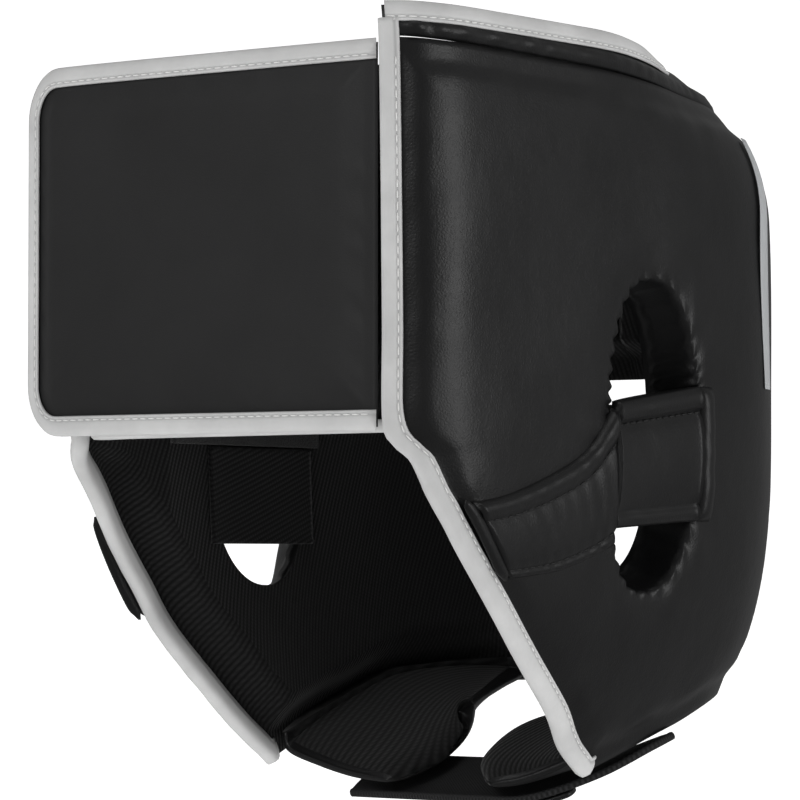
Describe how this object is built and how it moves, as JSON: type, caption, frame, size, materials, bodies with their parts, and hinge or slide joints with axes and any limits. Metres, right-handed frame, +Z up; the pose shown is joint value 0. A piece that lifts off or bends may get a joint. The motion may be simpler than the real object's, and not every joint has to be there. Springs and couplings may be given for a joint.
{
  "type": "boxing headgear",
  "caption": "Open-face boxing headgear in black leather with white tape binding, a thick forehead pad, ear straps and bridges, a knit lining and a chin strap.",
  "frame": {"origin": "The seat: the underside of the crown pad at its middle, where the headgear sits on the top of a head.", "axes": "+X towards the wearer's left, -Y towards the front where the face shows, +Z up towards the crown"},
  "size_m": [0.211, 0.2649, 0.2711],
  "materials": {
    "smooth_leather": "satin",
    "matte_leather": "matte",
    "white_tape": "satin",
    "lining_knit": "matte",
    "hook_and_loop": "matte",
    "webbing": "matte"
  },
  "bodies": {
    "root": {"brow_tape": "white_tape", "chin_flap_left": "lining_knit", "chin_flap_right": "lining_knit", "chin_strap": "webbing", "chin_strap_tab": "smooth_leather", "crown_pad": "lining_knit", "ear_anchor_left": "smooth_leather", "ear_anchor_right": "smooth_leather", "ear_bridge_left": "smooth_leather", "ear_bridge_right": "smooth_leather", "ear_strap_left": "smooth_leather", "ear_strap_right": "smooth_leather", "ear_tab_left": "smooth_leather", "ear_tab_right": "smooth_leather", "face_tape_left": "white_tape", "face_tape_right": "white_tape", "forehead_base": "lining_knit", "forehead_pad": "matte_leather", "forehead_pad_tape": "white_tape", "inner_strip_left": "hook_and_loop", "inner_strip_right": "hook_and_loop", "rear_closure": "webbing", "rear_panel": "smooth_leather", "side_panel_left": "smooth_leather", "side_panel_right": "smooth_leather", "top_band_left": "smooth_leather", "top_band_right": "smooth_leather", "top_tape_left": "white_tape", "top_tape_right": "white_tape"}
  },
  "joints": []
}
